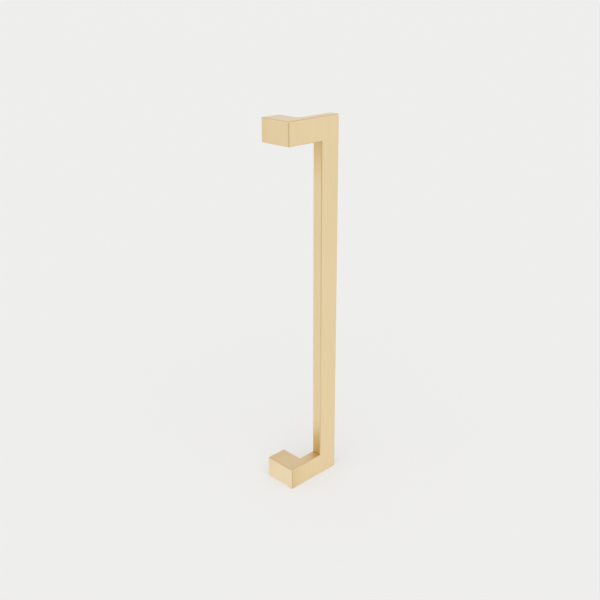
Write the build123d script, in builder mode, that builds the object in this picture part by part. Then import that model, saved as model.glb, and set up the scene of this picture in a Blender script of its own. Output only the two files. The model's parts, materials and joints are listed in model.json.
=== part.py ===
from build123d import *
from math import radians, tan
import os

# Offset pull handle for a door, one solid piece of satin brass, in millimetres.
# The origin is on the door's face, midway between the two fixing holes.
# +X points from the legs towards the grip, +Y into the door and +Z up the handle.

# Bar and layout
bar_width = 30.0        # height of the arms and legs, and width of the grip
bar_thickness = 15.0    # grip and arms, front to back
leg_width = 30.0        # legs, from side to side
fixing_centres = 470.0  # between the two fixing holes
grip_offset = 55.0      # sideways from the line of the legs to the middle of the grip
projection = 47.0       # from the door's face to the front of the handle

# Edges
edge_radius = 1.5       # eased edges that the hand meets
foot_chamfer = 0.4      # edges of the leg ends, against the door

# Tapped fixing holes, each with the bore at its thread's outer diameter
thread_diameter = 8.0
thread_depth = 20.0     # from the leg's end to the start of the drill's point
drill_point_angle = 118.0
mouth_chamfer = 0.5     # countersink at the mouth, at 45 degrees

# Outline of the front face, worked out from the layout
outer_length = fixing_centres + bar_width
inner_length = fixing_centres - bar_width
leg_side = -leg_width / 2
grip_outside = grip_offset + bar_width / 2
grip_inside = grip_offset - bar_width / 2

# Profile of a fixing hole, from its axis outwards
thread_radius = thread_diameter / 2
mouth_radius = thread_radius + mouth_chamfer
hole_bottom = thread_depth + thread_radius / tan(radians(drill_point_angle / 2))

door_face = Plane.XZ
front_face = door_face.offset(projection)

with BuildPart() as pull_handle:
    # The grip and its two arms, a flat C seen from the front
    with BuildSketch(front_face):
        with BuildLine():
            Polyline(
                (leg_side, outer_length / 2),
                (grip_outside, outer_length / 2),
                (grip_outside, -outer_length / 2),
                (leg_side, -outer_length / 2),
                (leg_side, -inner_length / 2),
                (grip_inside, -inner_length / 2),
                (grip_inside, inner_length / 2),
                (leg_side, inner_length / 2),
                close=True,
            )
        make_face()
    extrude(amount=-bar_thickness)

    # A square leg from the door's face to the back of each arm
    with BuildSketch(door_face):
        with GridLocations(leg_width, fixing_centres, 1, 2):
            Rectangle(leg_width, bar_width)
    extrude(amount=projection - bar_thickness)

    # Every outside edge is eased, apart from those against the door, and the inside corners stay crisp
    foot_edges = pull_handle.edges().group_by(Axis.Y)[-1]
    hand_edges = (pull_handle.edges() - foot_edges).filter_by(lambda edge: not edge.is_interior)
    fillet(hand_edges, edge_radius)
    chamfer(pull_handle.edges().group_by(Axis.Y)[-1], foot_chamfer)

    # A blind tapped hole up the middle of each leg: countersunk mouth, thread bore and drill point
    for end in (-1, 1):
        hole_height = end * fixing_centres / 2
        with BuildSketch(Plane.XY.offset(hole_height)):
            with BuildLine():
                Polyline(
                    (0, 0),
                    (mouth_radius, 0),
                    (thread_radius, -mouth_chamfer),
                    (thread_radius, -thread_depth),
                    (0, -hole_bottom),
                    close=True,
                )
            make_face()
        revolve(axis=Axis((0, 0, hole_height), (0, 1, 0)), mode=Mode.SUBTRACT)

pull_handle.part.label = "pull_handle"

os.makedirs("parts", exist_ok=True)
export_step(pull_handle.part, "parts/pull_handle.step")
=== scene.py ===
import json
import math

import bpy
from bpy.props import FloatProperty, FloatVectorProperty, IntProperty, PointerProperty
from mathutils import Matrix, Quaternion, Vector


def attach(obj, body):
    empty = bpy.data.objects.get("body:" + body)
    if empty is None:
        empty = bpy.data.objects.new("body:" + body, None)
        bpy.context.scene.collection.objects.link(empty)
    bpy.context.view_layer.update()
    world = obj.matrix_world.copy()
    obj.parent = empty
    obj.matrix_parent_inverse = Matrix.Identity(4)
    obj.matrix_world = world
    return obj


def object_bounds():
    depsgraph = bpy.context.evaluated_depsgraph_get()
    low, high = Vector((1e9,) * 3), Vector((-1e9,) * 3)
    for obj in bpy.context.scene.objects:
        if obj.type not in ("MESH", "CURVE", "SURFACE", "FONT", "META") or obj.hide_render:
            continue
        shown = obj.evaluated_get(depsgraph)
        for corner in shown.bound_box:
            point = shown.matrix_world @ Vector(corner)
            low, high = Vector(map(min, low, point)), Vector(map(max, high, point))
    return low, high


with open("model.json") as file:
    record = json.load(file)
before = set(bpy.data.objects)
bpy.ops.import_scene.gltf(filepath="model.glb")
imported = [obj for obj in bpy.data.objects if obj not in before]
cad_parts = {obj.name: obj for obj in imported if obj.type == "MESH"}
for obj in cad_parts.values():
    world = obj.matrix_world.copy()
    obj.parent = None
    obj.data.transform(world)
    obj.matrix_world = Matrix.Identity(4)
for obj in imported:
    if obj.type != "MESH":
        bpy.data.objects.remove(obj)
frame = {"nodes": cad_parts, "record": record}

bl_info = {
    "name": "Satin Brass Offset Pull",
    "version": (1, 0, 0),
    "blender": (4, 5, 0),
    "location": "View3D > Sidebar > Offset Pull",
    "description": "Finishes an offset door pull in linished satin brass and sets it in a soft studio",
    "category": "Object",
}

# Facts of the solid handle, in metres
MM = 0.001
BODY = "root"
HANDLE = frame["nodes"]["pull_handle"]
CAD_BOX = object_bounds()
BOX_CENTRE = (CAD_BOX[0] + CAD_BOX[1]) / 2
FLOOR_HEIGHT = CAD_BOX[0].z
FIXING = next(mount for mount in frame["record"]["mounts"] if mount["name"] == "door_fixing")
DOOR_FACE = FIXING["pos_m"][1]
HOLE_RADIUS = FIXING["dims"]["hole_r_mm"] * MM
FIXING_CENTRES = FIXING["dims"]["spacing_y_mm"] * MM
BAR_WIDTH = CAD_BOX[1].z - CAD_BOX[0].z - FIXING_CENTRES
BAR_THICKNESS = 15 * MM
GRIP_INSIDE = CAD_BOX[1].x - BAR_WIDTH
ARM_INSIDE = (FIXING_CENTRES - BAR_WIDTH) / 2
ARM_BACK = CAD_BOX[0].y + BAR_THICKNESS
LEG_INSIDE = -CAD_BOX[0].x

# Faces told apart by one part of their normal, as the limits of a soft step
EDGE_BEND = (0.01, 0.16)
LEVEL_FACE = (0.6, 0.8)
SQUARE_ON = (0.3, 0.7)
LEG_END_FACE = (0.85, 0.97)

# Grain: bold and broad lines as multiples of the fine ones, and soft clouds to the metre
BOLD_GRAIN = 4
BROAD_GRAIN_WIDTH = 24
BROAD_GRAIN_LENGTH = 9
BOLD_DEPTH = 1.5
CLOUDS = (22.0, 22.0, 14.0)

# Machined zones: the skin of a leg's end, the wall of a bore, and the tool's rings
LEG_END_SKIN = (-0.6 * MM, -0.3 * MM)
BORE_WALL = (0.4 * MM, 0.6 * MM)
RING_WANDER = 0.02 * MM
RING_DEPTH = 0.004 * MM

# Tone of the brass, from its shade at 0 to its colour at 1, and what each pattern adds to it
TONE_MIDDLE = 0.62
TONE_FINE = 0.55
TONE_BOLD = 0.8
TONE_BROAD = 0.5
TONE_CLOUD = 0.8
TONE_RINGS = 0.25
TONE_BY_DOOR = -0.45
DOOR_REACH = 24 * MM

# What each pattern adds to the roughness of the brass
ROUGH_FINE = 0.16
ROUGH_BOLD = 0.12
ROUGH_CLOUD = 0.1
ROUGH_MACHINED = 0.05
ROUGH_RINGS = 0.06

# Roughness of the clear lacquer
LACQUER_ROUGHNESS = 0.2

# Painted shade in the inside corners, where the parts shade one another: room round their faces,
# where the shade starts, how much faster it fades along the arms and legs than up the grip, and
# where the dark line painted in each angle fades
CORNER_ROOM = (1 * MM, 2 * MM)
PAINTED_SHADE_START = -4 * MM
ARM_FADE = 2
PAINTED_CREASE_FADE = (0.2 * MM, 1.6 * MM)

# Brass as the tap leaves it: tears to the metre, and roughness
TEARS = (2600.0, 9000.0, 2600.0)
CUT_ROUGHNESS = 0.24
TEAR_ROUGHNESS = 0.2

# Shares of a metric thread's pitch, from its standard section, and the root that the wall takes in
THREAD_HEIGHT = 0.5413
THREAD_ROOT = 7 / 8
THREAD_CREST = 1 / 4
THREAD_BURY = 0.03

# Ends of a thread's ridge: share of the full section, and turns until it is full
RIDGE_START = 0.05
RIDGE_RUN_OUT = 0.5

# Bend from which an edge of the ridge is shown sharp
RIDGE_SHARP_ANGLE = math.radians(35)

# Shade on the paper as the brass mirrors it: shares, and reaches in metres from the near corner of
# the lower leg
SHADE_START = (-0.03, 0.02)
SHADE_NARROWING = 0.3
SHADE_BASE = 0.45
NEAR_SHADE_END = (0.04, 0.1)
FAR_SHADE_START = (0.32, 0.58)
FAR_SHADE_NARROWING = 0.6
FAR_SHADE = 0.75
SIDE_SHADE_START = (0.2, 0.8)
SIDE_SHADE = 0.2
MIRRORED_EVENNESS = 0.5

# Brighter paper beside the lower leg: its middle, its even core and its straight side
POOL_PLACE = Vector((CAD_BOX[0].x - 42 * MM, DOOR_FACE - 30 * MM))
POOL_CORE = 0.03
POOL_SIDE = (-0.005, 0.01)

# Directions in the room: sines of height from wall to ceiling, cosines from wall to the camera's
# side, and the even core of the soft light as a share of its spread
CEILING_START = (0.35, 0.75)
CAMERA_SIDE_START = (0.55, 0.95)
KEY_CORE = 0.6

# Width of the camera's sensor, in millimetres
SENSOR_WIDTH = 36.0


class Socket:
    """A node's output that can stand in a Python expression: each operation adds a Math node."""

    def __init__(self, graph, output):
        self.graph = graph
        self.output = output

    def sibling(self, name):
        """Another output of the same node."""
        return Socket(self.graph, self.output.node.outputs[name])

    def split(self):
        """The three parts of a vector."""
        parts = self.graph.node("ShaderNodeSeparateXYZ", None, {"Vector": self})
        return [parts.sibling(axis) for axis in "XYZ"]

    def math(self, operation, *values):
        inputs = dict(enumerate(values))
        return self.graph.node("ShaderNodeMath", {"operation": operation}, inputs)

    def __add__(self, other):
        return self.math("ADD", self, other)

    def __radd__(self, other):
        return self.math("ADD", other, self)

    def __sub__(self, other):
        return self.math("SUBTRACT", self, other)

    def __rsub__(self, other):
        return self.math("SUBTRACT", other, self)

    def __mul__(self, other):
        return self.math("MULTIPLY", self, other)

    def __rmul__(self, other):
        return self.math("MULTIPLY", other, self)

    def __truediv__(self, other):
        return self.math("DIVIDE", self, other)

    def __pow__(self, other):
        return self.math("POWER", self, other)

    def __neg__(self):
        return self.math("MULTIPLY", self, -1.0)

    def __abs__(self):
        return self.math("ABSOLUTE", self)

    def most(self, other):
        return self.math("MAXIMUM", self, other)

    def least(self, other):
        return self.math("MINIMUM", self, other)

    def sine(self):
        return self.math("SINE", self)

    def rise(self, low, high):
        """0 below low and 1 above high, with a soft step between them."""
        limits = {"Value": self, "From Min": low, "From Max": high}
        return self.graph.node("ShaderNodeMapRange", {"interpolation_type": "SMOOTHSTEP"}, limits)

    def fall(self, low, high):
        """1 below low and 0 above high, with a soft step between them."""
        return 1 - self.rise(low, high)


class Graph:
    """A node tree under construction."""

    def __init__(self, tree):
        self.tree = tree
        tree.nodes.clear()

    def node(self, kind, settings=None, inputs=None, output=0):
        """Adds a node, sets its settings first, then fills its sockets with values or links."""
        made = self.tree.nodes.new(kind)
        for name, value in (settings or {}).items():
            setattr(made, name, value)
        for name, value in (inputs or {}).items():
            if isinstance(value, Socket):
                self.tree.links.new(value.output, made.inputs[name])
            else:
                made.inputs[name].default_value = value
        return Socket(self, made.outputs[output]) if len(made.outputs) else None

    def vector(self, x=0.0, y=0.0, z=0.0):
        return self.node("ShaderNodeCombineXYZ", None, {"X": x, "Y": y, "Z": z})

    def times(self, vector, factors):
        """A vector multiplied part by part."""
        return self.node("ShaderNodeVectorMath", {"operation": "MULTIPLY"}, {0: vector, 1: factors})

    def mix_vectors(self, factor, first, second):
        inputs = {"Factor": factor, 4: first, 5: second}
        return self.node("ShaderNodeMix", {"data_type": "VECTOR"}, inputs, 1)

    def mix_colours(self, factor, first, second):
        inputs = {"Factor": factor, 6: first, 7: second}
        return self.node("ShaderNodeMix", {"data_type": "RGBA"}, inputs, 2)

    def noise(self, place):
        """Soft noise about 0, with one swell to each unit of the place."""
        inputs = {"Vector": place, "Scale": 1.0, "Detail": 2.0, "Roughness": 0.55}
        return self.node("ShaderNodeTexNoise", None, inputs) - 0.5


class BrassSettings(bpy.types.PropertyGroup):
    """The finish of the handle."""

    colour: FloatVectorProperty(
        name="Brass", description="Colour of the linished faces", subtype="COLOR",
        default=(0.98, 0.793, 0.488), min=0.0, max=1.0)
    shade: FloatVectorProperty(
        name="Shade", description="Deeper colour in the furrows of the grain", subtype="COLOR",
        default=(0.91, 0.718, 0.428), min=0.0, max=1.0)
    # Painted shade: this colour darkens the inside corners in place of the shade that falls there
    painted_corner_shade: FloatVectorProperty(
        name="Corner shade", description="Colour in the inside corners, which the belt hardly reaches",
        subtype="COLOR", default=(0.828, 0.63, 0.31), min=0.0, max=1.0)
    # Painted shade: a dark line painted into the angle of each inside corner
    painted_crease: FloatVectorProperty(
        name="Crease", description="Dark line in the angle of each inside corner", subtype="COLOR",
        default=(0.7, 0.505, 0.225), min=0.0, max=1.0)
    # Reach of the painted shade in the inside corners
    corner_reach: FloatProperty(
        name="Corner reach", description="How far the corner shade runs out along the faces",
        unit="LENGTH", default=60 * MM, min=1 * MM)
    roughness: FloatProperty(
        name="Satin", description="Roughness of the linished faces", subtype="FACTOR",
        default=0.4, min=0.0, max=1.0)
    edge_polish: FloatProperty(
        name="Edge polish", description="How much smoother the eased edges are than the faces",
        subtype="FACTOR", default=0.04, min=0.0, max=1.0)
    lacquer: FloatProperty(
        name="Lacquer", description="Weight of the clear coat", subtype="FACTOR",
        default=0.12, min=0.0, max=1.0)
    grain_width: FloatProperty(
        name="Grain width", description="Width of one linishing line", unit="LENGTH",
        default=0.22 * MM, min=0.02 * MM)
    grain_length: FloatProperty(
        name="Grain length", description="Length of one linishing line", unit="LENGTH",
        default=18 * MM, min=1 * MM)
    grain_depth: FloatProperty(
        name="Grain depth", description="Depth of the linishing lines", unit="LENGTH",
        default=0.002 * MM, min=0.0)
    facing_pitch: FloatProperty(
        name="Facing pitch", description="Between the tool marks on the leg ends", unit="LENGTH",
        default=0.35 * MM, min=0.05 * MM)


class ThreadSettings(bpy.types.PropertyGroup):
    """The thread in each fixing hole, a coarse metric one."""

    pitch: FloatProperty(
        name="Pitch", description="From one turn to the next", unit="LENGTH",
        default=1.25 * MM, min=0.2 * MM)
    lead_in: FloatProperty(
        name="Lead-in", description="From the leg's end to the first turn", unit="LENGTH",
        default=1.05 * MM, min=0.0)
    depth: FloatProperty(
        name="Depth", description="From the leg's end to the last turn", unit="LENGTH",
        default=19.3 * MM, min=2 * MM)
    facets: IntProperty(
        name="Facets", description="Steps in one turn", default=40, min=12, max=96)


class StageSettings(bpy.types.PropertyGroup):
    """The camera and the studio."""

    azimuth: FloatProperty(
        name="Azimuth", description="Turn of the camera round the handle, from straight in front",
        subtype="ANGLE", default=math.radians(-44.08))
    elevation: FloatProperty(
        name="Elevation", description="Downward tilt of the camera", subtype="ANGLE",
        default=math.radians(21.76))
    roll: FloatProperty(
        name="Roll", description="Turn of the camera about its own axis", subtype="ANGLE",
        default=math.radians(-0.26))
    distance: FloatProperty(
        name="Distance", description="From the camera to the point that it looks at", unit="LENGTH",
        default=1.0575, min=0.1)
    aim: FloatVectorProperty(
        name="Aim", description="The point that the camera looks at, from the middle of the handle",
        subtype="TRANSLATION", default=(1.38 * MM, 4.23 * MM, 10.0 * MM))
    lens: FloatProperty(
        name="Lens", description="Focal length on a 36 mm wide sensor", unit="CAMERA",
        default=48.3, min=10.0)
    paper: FloatVectorProperty(
        name="Paper", description="Colour of the studio paper", subtype="COLOR",
        default=(0.88, 0.875, 0.86), min=0.0, max=1.0)
    plain: FloatVectorProperty(
        name="Plain", description="The even colour that the lit paper and the walls have in view",
        subtype="COLOR", default=(0.865, 0.86, 0.85), min=0.0, max=1.0)
    evenness: FloatProperty(
        name="Evenness", description="How far the even colour covers the shadow on the paper",
        subtype="FACTOR", default=0.4, min=0.0, max=1.0)
    floor_side: FloatProperty(
        name="Floor side", description="Side of the square of studio paper", unit="LENGTH",
        default=60.0, min=2.0)
    horizon: FloatVectorProperty(
        name="Horizon", description="Colour of the pale walls in the brass", subtype="COLOR",
        default=(0.89, 0.91, 0.98), min=0.0, max=2.0)
    ceiling: FloatVectorProperty(
        name="Ceiling", description="Colour of the dimmer ceiling in the brass", subtype="COLOR",
        default=(0.565, 0.49, 0.42), min=0.0, max=2.0)
    fill: FloatVectorProperty(
        name="Fill", description="Even light of the whole studio on the paper", subtype="COLOR",
        default=(0.62, 0.625, 0.63), min=0.0, max=2.0)
    pool: FloatVectorProperty(
        name="Pool", description="Brighter paper beside the lower leg, where the light pools",
        subtype="COLOR", default=(0.965, 0.985, 1.075), min=0.0, max=2.0)
    pool_reach: FloatProperty(
        name="Pool reach", description="From the middle of the brighter paper to where it ends",
        unit="LENGTH", default=0.11, min=0.04)
    camera_side: FloatVectorProperty(
        name="Camera side", description="Colour of the darker room behind the camera", subtype="COLOR",
        default=(0.55, 0.465, 0.33), min=0.0, max=1.0)
    key_strength: FloatProperty(
        name="Key light", description="Strength of the large soft light, in watts a square metre",
        default=1.4, min=0.0)
    key_turn: FloatProperty(
        name="Key turn", description="Turn of the soft light round the handle, from straight in front",
        subtype="ANGLE", default=math.radians(-50))
    key_height: FloatProperty(
        name="Key height", description="Angle of the soft light above the floor", subtype="ANGLE",
        default=math.radians(52))
    key_spread: FloatProperty(
        name="Key spread", description="Angle across the soft light", subtype="ANGLE",
        default=math.radians(80), min=0.0, max=math.pi)
    key_glow: FloatVectorProperty(
        name="Key glow", description="Colour of the soft light in the brass", subtype="COLOR",
        default=(1.08, 1.06, 1.02), min=0.0, max=2.0)


def opaque(colour):
    return (*colour, 1.0)


def link(item):
    bpy.context.scene.collection.objects.link(item)
    return item


def new_material(name):
    material = bpy.data.materials.new(name)
    material.use_nodes = True
    return material, Graph(material.node_tree)


def put_surface(graph, surface):
    graph.node("ShaderNodeOutputMaterial", None, {"Surface": surface})


def painted_corner_shade_masks(x, y, height, back, up, reach):
    """Painted shade in the inside corners of the handle, and a narrow dark line painted in each angle.
    """

    def up_to(value, limit):
        near, far = CORNER_ROOM
        return value.fall(limit + near, limit + far)

    def beyond(value, limit):
        near, far = CORNER_ROOM
        return value.rise(limit - far, limit - near)

    # Painted shade where the grip meets the arms, round the window between them
    window = up_to(x, GRIP_INSIDE) * up_to(height, ARM_INSIDE) * abs(back).fall(*SQUARE_ON)
    along_arm = GRIP_INSIDE - x
    along_grip = ARM_INSIDE - height
    grip_painted_shade = (ARM_FADE * along_arm).most(along_grip).fall(PAINTED_SHADE_START, reach)
    grip_painted_crease = along_arm.most(along_grip).fall(*PAINTED_CREASE_FADE)

    # Painted shade where the legs meet the backs of the arms
    recess = beyond(x, LEG_INSIDE) * beyond(y, ARM_BACK) * beyond(height, ARM_INSIDE)
    recess = recess * abs(up).fall(*SQUARE_ON)
    from_angle = (x - LEG_INSIDE).most(y - ARM_BACK)
    leg_painted_shade = (ARM_FADE * from_angle).fall(PAINTED_SHADE_START, reach)
    leg_painted_crease = from_angle.fall(*PAINTED_CREASE_FADE)

    shade = (window * grip_painted_shade).most(recess * leg_painted_shade)
    painted_crease = (window * grip_painted_crease).most(recess * leg_painted_crease)
    return shade, painted_crease


def satin_brass(settings):
    """Linished faces with lengthwise grain, smoother eased edges, machined leg ends and holes, and
    painted shade in the inside corners.
    """
    material, graph = new_material("satin_brass_finish")
    coordinates = graph.node("ShaderNodeTexCoord")
    place = coordinates.sibling("Object")
    x, y, z = place.split()
    across, back, up = coordinates.sibling("Normal").split()
    flatness = abs(across).most(abs(back)).most(abs(up))
    edge = (1 - flatness).rise(*EDGE_BEND)
    level_face = abs(up).rise(*LEVEL_FACE)

    def grain(width, length):
        """Lines that run up the handle, and along the arms on their level faces."""
        upright = graph.times(place, (1 / width, 1 / width, 1 / length))
        level = graph.times(place, (1 / length, 1 / width, 1 / width))
        return graph.noise(graph.mix_vectors(level_face, upright, level))

    width = settings.grain_width
    length = settings.grain_length
    fine = grain(width, length)
    bold = grain(BOLD_GRAIN * width, BOLD_GRAIN * length)
    broad = grain(BROAD_GRAIN_WIDTH * width, BROAD_GRAIN_LENGTH * length)
    cloud = graph.noise(graph.times(place, CLOUDS))

    # Machined zones: the leg ends, with the tool's rings about the fixing holes, and the bores
    from_axis = (x * x + (abs(z) - FIXING_CENTRES / 2) ** 2) ** 0.5
    leg_end = back.rise(*LEG_END_FACE) * (y - DOOR_FACE).rise(*LEG_END_SKIN)
    bore = (from_axis - HOLE_RADIUS).fall(*BORE_WALL)
    machined = leg_end.most(bore)
    linished = 1 - machined
    wave = math.tau / settings.facing_pitch
    rings = ((from_axis + RING_WANDER * bold) * wave).sine() * leg_end

    by_door = y.rise(DOOR_FACE - DOOR_REACH, DOOR_FACE)
    streaks = (TONE_FINE * fine + TONE_BOLD * bold + TONE_BROAD * broad) * linished
    marks = TONE_CLOUD * cloud + TONE_RINGS * rings + TONE_BY_DOOR * by_door
    tone = TONE_MIDDLE + streaks + marks
    colour = graph.mix_colours(tone, opaque(settings.shade), opaque(settings.colour))
    # Painted shade in the inside corners, and a dark line painted in each angle
    shade, painted_crease = painted_corner_shade_masks(x, y, abs(z), back, up, settings.corner_reach)
    colour = graph.mix_colours(shade, colour, opaque(settings.painted_corner_shade))
    colour = graph.mix_colours(painted_crease, colour, opaque(settings.painted_crease))

    grained = (ROUGH_FINE * fine + ROUGH_BOLD * bold) * linished
    tooled = ROUGH_MACHINED * machined + ROUGH_RINGS * rings
    satin = settings.roughness + grained + tooled + ROUGH_CLOUD * cloud
    lines = (fine + BOLD_DEPTH * bold) * linished * (1 - edge)
    relief = settings.grain_depth * lines + RING_DEPTH * rings
    surface = graph.node("ShaderNodeBsdfPrincipled", None, {
        "Base Color": colour,
        "Metallic": 1.0,
        "Roughness": satin - settings.edge_polish * edge,
        "Normal": graph.node("ShaderNodeBump", None, {"Height": relief, "Distance": 1.0}),
        "Coat Weight": settings.lacquer,
        "Coat Roughness": LACQUER_ROUGHNESS,
    })
    put_surface(graph, surface)
    return material


def cut_brass(settings):
    """Bright brass as the tap leaves it, with fine tearing along the cut."""
    material, graph = new_material("cut_brass_finish")
    place = graph.node("ShaderNodeTexCoord", output="Object")
    tearing = graph.noise(graph.times(place, TEARS))
    surface = graph.node("ShaderNodeBsdfPrincipled", None, {
        "Base Color": graph.mix_colours(0.5 + tearing, opaque(settings.shade), opaque(settings.colour)),
        "Metallic": 1.0,
        "Roughness": CUT_ROUGHNESS + TEAR_ROUGHNESS * tearing,
    })
    put_surface(graph, surface)
    return material


def thread_tree():
    """Nodes that sweep a thread's section along a spiral and set one such ridge in each hole."""
    tree = bpy.data.node_groups.new("fixing_threads", "GeometryNodeTree")
    graph = Graph(tree)
    kinds = {
        "Wall Radius": "NodeSocketFloat",
        "Pitch": "NodeSocketFloat",
        "Lead-in": "NodeSocketFloat",
        "Depth": "NodeSocketFloat",
        "Centres": "NodeSocketFloat",
        "Facets": "NodeSocketInt",
        "Material": "NodeSocketMaterial",
    }
    for name, kind in kinds.items():
        tree.interface.new_socket(name, in_out="INPUT", socket_type=kind)
    tree.interface.new_socket("Threads", in_out="OUTPUT", socket_type="NodeSocketGeometry")
    given = graph.node("NodeGroupInput")
    radius, pitch, lead_in, depth, centres, facets, material = [given.sibling(name) for name in kinds]

    # The section stands inwards from the wall, which takes in a little of its root
    flare = THREAD_BURY * (THREAD_ROOT - THREAD_CREST) / 2 / THREAD_HEIGHT
    bury = THREAD_BURY * pitch
    root = (THREAD_ROOT / 2 + flare) * pitch
    crest = THREAD_CREST / 2 * pitch
    height = THREAD_HEIGHT * pitch
    section = graph.node("GeometryNodeCurvePrimitiveQuadrilateral", {"mode": "POINTS"}, {
        "Point 1": graph.vector(bury, root),
        "Point 2": graph.vector(-height, crest),
        "Point 3": graph.vector(-height, -crest),
        "Point 4": graph.vector(bury, -root),
    })

    turns = (depth - lead_in) / pitch
    spiral = graph.node("GeometryNodeCurveSpiral", None, {
        "Resolution": facets,
        "Rotations": turns,
        "Start Radius": radius,
        "End Radius": radius,
        "Height": depth - lead_in,
        "Reverse": True,
    })
    path = graph.node("GeometryNodeSetCurveNormal", {"mode": "Z_UP"}, {"Curve": spiral})

    # The ridge grows out of the wall over its first half turn and dies away over its last
    along = graph.node("GeometryNodeSplineParameter", output="Factor")
    from_end = turns * along.least(1 - along)
    fullness = RIDGE_START + (1 - RIDGE_START) * from_end.rise(0.0, RIDGE_RUN_OUT)
    ridge = graph.node("GeometryNodeCurveToMesh", None, {
        "Curve": path,
        "Profile Curve": section,
        "Scale": fullness,
        "Fill Caps": True,
    })
    mouths = graph.node("GeometryNodeMeshLine", None, {
        "Count": 2,
        "Start Location": graph.vector(0.0, -lead_in, centres * -0.5),
        "Offset": graph.vector(0.0, 0.0, centres),
    })
    ridges = graph.node("GeometryNodeInstanceOnPoints", None, {
        "Points": mouths,
        "Instance": ridge,
        "Rotation": (math.pi / 2, 0.0, 0.0),
    })
    solid = graph.node("GeometryNodeRealizeInstances", None, {"Geometry": ridges})
    finished = graph.node("GeometryNodeSetMaterial", None, {"Geometry": solid, "Material": material})
    graph.node("NodeGroupOutput", None, {"Threads": finished})
    return tree


def cut_threads(settings, material):
    """The ridges of both threads as one plain mesh, riding in the handle."""
    values = {
        "Wall Radius": HOLE_RADIUS,
        "Pitch": settings.pitch,
        "Lead-in": settings.lead_in,
        "Depth": settings.depth,
        "Centres": FIXING_CENTRES,
        "Facets": settings.facets,
        "Material": material,
    }
    tree = thread_tree()
    threads = bpy.data.objects.new("fixing_threads", bpy.data.meshes.new("fixing_threads"))
    modifier = threads.modifiers.new("threads", "NODES")
    modifier.node_group = tree
    for item in tree.interface.items_tree:
        if item.in_out == "INPUT":
            modifier[item.identifier] = values[item.name]
    link(threads)
    shapes = bpy.context.evaluated_depsgraph_get()
    mesh = bpy.data.meshes.new_from_object(threads.evaluated_get(shapes), depsgraph=shapes)
    threads.modifiers.clear()
    threads.data = mesh
    mesh.set_sharp_from_angle(angle=RIDGE_SHARP_ANGLE)
    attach(threads, BODY)


def look_from(turn, height):
    """The direction from a turn round the handle and a height above the floor to the handle."""
    level = math.cos(height)
    return Vector((-math.sin(turn) * level, math.cos(turn) * level, -math.sin(height)))


def level_to_camera(settings):
    """The level direction from the handle to the camera."""
    return -look_from(settings.azimuth, 0.0).to_2d()


def in_view(rays):
    """1 for what the camera sees, straight or through something clear."""
    return rays.sibling("Is Camera Ray").most(rays.sibling("Is Transmission Ray"))


def studio_paper(settings):
    """Pale paper with a soft shadow.

    The brass mirrors it in shade towards the camera, and brighter in a pool beside the lower leg.
    """
    material, graph = new_material("studio_paper")
    rays = graph.node("ShaderNodeLightPath")
    mirrored = rays.sibling("Is Glossy Ray")
    x, y, _ = graph.node("ShaderNodeTexCoord", output="Object").split()
    to_camera = level_to_camera(settings)
    from_leg = x - CAD_BOX[0].x
    from_front = y - CAD_BOX[0].y
    ahead = from_leg * to_camera.x + from_front * to_camera.y
    aside = from_leg * to_camera.y - from_front * to_camera.x

    towards = (ahead - SHADE_NARROWING * abs(aside)).rise(*SHADE_START)
    near = ahead.fall(*NEAR_SHADE_END)
    far = FAR_SHADE * (ahead - FAR_SHADE_NARROWING * abs(aside)).rise(*FAR_SHADE_START)
    ahead_shade = towards * (SHADE_BASE + (1 - SHADE_BASE) * near.most(far))
    shaded = mirrored * ahead_shade.most(SIDE_SHADE * aside.rise(*SIDE_SHADE_START))
    from_pool = ((x - POOL_PLACE.x) ** 2 + (y - POOL_PLACE.y) ** 2) ** 0.5
    pooled = mirrored * aside.rise(*POOL_SIDE) * from_pool.fall(POOL_CORE, settings.pool_reach)

    tint = graph.mix_colours(shaded, opaque(settings.plain), opaque(settings.camera_side))
    tint = graph.mix_colours(pooled, tint, opaque(settings.pool))
    even = graph.node("ShaderNodeEmission", None, {"Color": tint})
    lit = graph.node("ShaderNodeBsdfDiffuse", None, {"Color": opaque(settings.paper)})
    mirrored_share = mirrored * shaded.most(pooled).most(MIRRORED_EVENNESS)
    share = in_view(rays) * settings.evenness + mirrored_share
    upper = graph.node("ShaderNodeMixShader", None, {0: share, 1: lit, 2: even})

    # From below there is no paper in the way
    below = graph.node("ShaderNodeNewGeometry", output="Backfacing")
    clear = graph.node("ShaderNodeBsdfTransparent")
    put_surface(graph, graph.node("ShaderNodeMixShader", None, {0: below, 1: upper, 2: clear}))
    return material


def lay_floor(settings):
    """A level sheet of studio paper under the handle."""
    half = settings.floor_side / 2
    sides = ((-half, -half), (half, -half), (half, half), (-half, half))
    mesh = bpy.data.meshes.new("studio_floor")
    mesh.from_pydata([(x, y, FLOOR_HEIGHT) for x, y in sides], [], [(0, 1, 2, 3)])
    mesh.materials.append(studio_paper(settings))
    link(bpy.data.objects.new("studio_floor", mesh))


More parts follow.
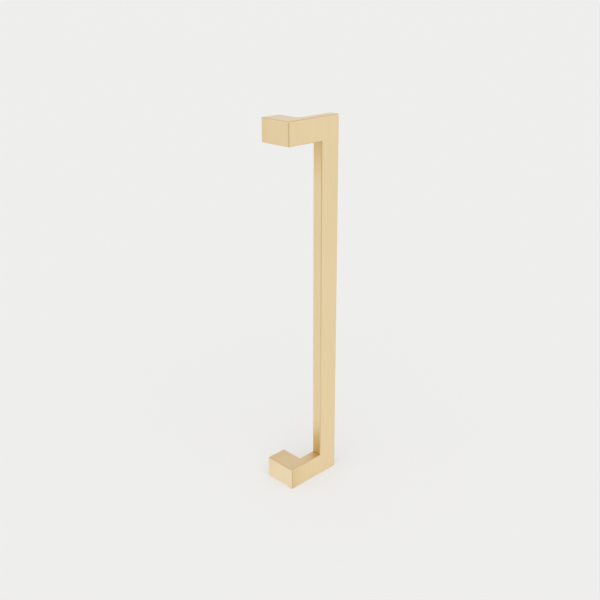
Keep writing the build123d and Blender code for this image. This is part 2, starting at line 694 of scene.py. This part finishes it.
def light_studio(settings):
    """Pale walls, a dimmer ceiling, a dark room behind the camera and one large soft light."""
    world = bpy.data.worlds.new("studio")
    world.use_nodes = True
    bpy.context.scene.world = world
    graph = Graph(world.node_tree)
    x, y, height = graph.node("ShaderNodeTexCoord", output="Generated").split()
    to_camera = level_to_camera(settings)
    aligned = x * to_camera.x + y * to_camera.y
    overhead = height.rise(*CEILING_START)
    room = graph.mix_colours(overhead, opaque(settings.horizon), opaque(settings.ceiling))
    behind = aligned.rise(*CAMERA_SIDE_START)
    room = graph.mix_colours(behind, room, opaque(settings.camera_side))

    # The brass mirrors a soft patch of the room in place of the lamp itself
    key_way = look_from(settings.key_turn, settings.key_height)
    to_key = -(x * key_way.x + y * key_way.y + height * key_way.z)
    half_spread = settings.key_spread / 2
    in_key = to_key.rise(math.cos(half_spread), math.cos(half_spread * KEY_CORE))
    room = graph.mix_colours(in_key, room, opaque(settings.key_glow))
    rays = graph.node("ShaderNodeLightPath")
    light_cast = graph.mix_colours(rays.sibling("Is Glossy Ray"), opaque(settings.fill), room)
    seen = graph.mix_colours(in_view(rays), light_cast, opaque(settings.plain))
    light = graph.node("ShaderNodeBackground", None, {"Color": seen})
    graph.node("ShaderNodeOutputWorld", None, {"Surface": light})

    softbox = bpy.data.lights.new("key_softbox", "SUN")
    softbox.energy = settings.key_strength
    softbox.angle = settings.key_spread
    key = link(bpy.data.objects.new("key_softbox", softbox))
    key.visible_glossy = False
    key.rotation_mode = "QUATERNION"
    key.rotation_quaternion = key_way.to_track_quat("-Z", "Y")


def place_camera(settings):
    """The camera at its turn and height, looking at its aim."""
    lens = bpy.data.cameras.new("camera")
    lens.sensor_width = SENSOR_WIDTH
    lens.lens = settings.lens
    camera = link(bpy.data.objects.new("camera", lens))
    forward = look_from(settings.azimuth, settings.elevation)
    roll = Quaternion((0.0, 0.0, 1.0), settings.roll)
    camera.location = BOX_CENTRE + Vector(settings.aim) - forward * settings.distance
    camera.rotation_mode = "QUATERNION"
    camera.rotation_quaternion = forward.to_track_quat("-Z", "Y") @ roll
    bpy.context.scene.camera = camera


class PULL_OT_finish_handle(bpy.types.Operator):
    """Give the solid handle its linished satin brass"""

    bl_idname = "offset_pull.finish_handle"
    bl_label = "Finish Handle"

    def execute(self, context):
        HANDLE.material_slots[0].material = satin_brass(context.scene.pull_brass)
        return {"FINISHED"}


class PULL_OT_cut_threads(bpy.types.Operator):
    """Cut the thread in both fixing holes"""

    bl_idname = "offset_pull.cut_threads"
    bl_label = "Cut Threads"

    def execute(self, context):
        cut_threads(context.scene.pull_thread, cut_brass(context.scene.pull_brass))
        return {"FINISHED"}


class PULL_OT_set_stage(bpy.types.Operator):
    """Lay the floor, set the lights and place the camera"""

    bl_idname = "offset_pull.set_stage"
    bl_label = "Set Stage"

    def execute(self, context):
        settings = context.scene.pull_stage
        lay_floor(settings)
        light_studio(settings)
        place_camera(settings)
        return {"FINISHED"}


class PULL_PT_sidebar(bpy.types.Panel):
    """Sizes, colours and steps of the offset pull"""

    bl_idname = "PULL_PT_sidebar"
    bl_label = "Offset Pull"
    bl_space_type = "VIEW_3D"
    bl_region_type = "UI"
    bl_category = "Offset Pull"

    def draw(self, context):
        scene = context.scene
        steps = (
            (scene.pull_brass, PULL_OT_finish_handle),
            (scene.pull_thread, PULL_OT_cut_threads),
            (scene.pull_stage, PULL_OT_set_stage),
        )
        for settings, step in steps:
            box = self.layout.box()
            for name in settings.__annotations__:
                box.prop(settings, name)
            box.operator(step.bl_idname)


CLASSES = (
    BrassSettings,
    ThreadSettings,
    StageSettings,
    PULL_OT_finish_handle,
    PULL_OT_cut_threads,
    PULL_OT_set_stage,
    PULL_PT_sidebar,
)


def register():
    for cls in CLASSES:
        bpy.utils.register_class(cls)
    bpy.types.Scene.pull_brass = PointerProperty(type=BrassSettings)
    bpy.types.Scene.pull_thread = PointerProperty(type=ThreadSettings)
    bpy.types.Scene.pull_stage = PointerProperty(type=StageSettings)


def unregister():
    del bpy.types.Scene.pull_stage
    del bpy.types.Scene.pull_thread
    del bpy.types.Scene.pull_brass
    for cls in reversed(CLASSES):
        bpy.utils.unregister_class(cls)


def main():
    register()
    bpy.context.scene.view_settings.view_transform = "Standard"
    bpy.ops.offset_pull.finish_handle()
    bpy.ops.offset_pull.cut_threads()
    bpy.ops.offset_pull.set_stage()


if __name__ == "__main__":
    main()
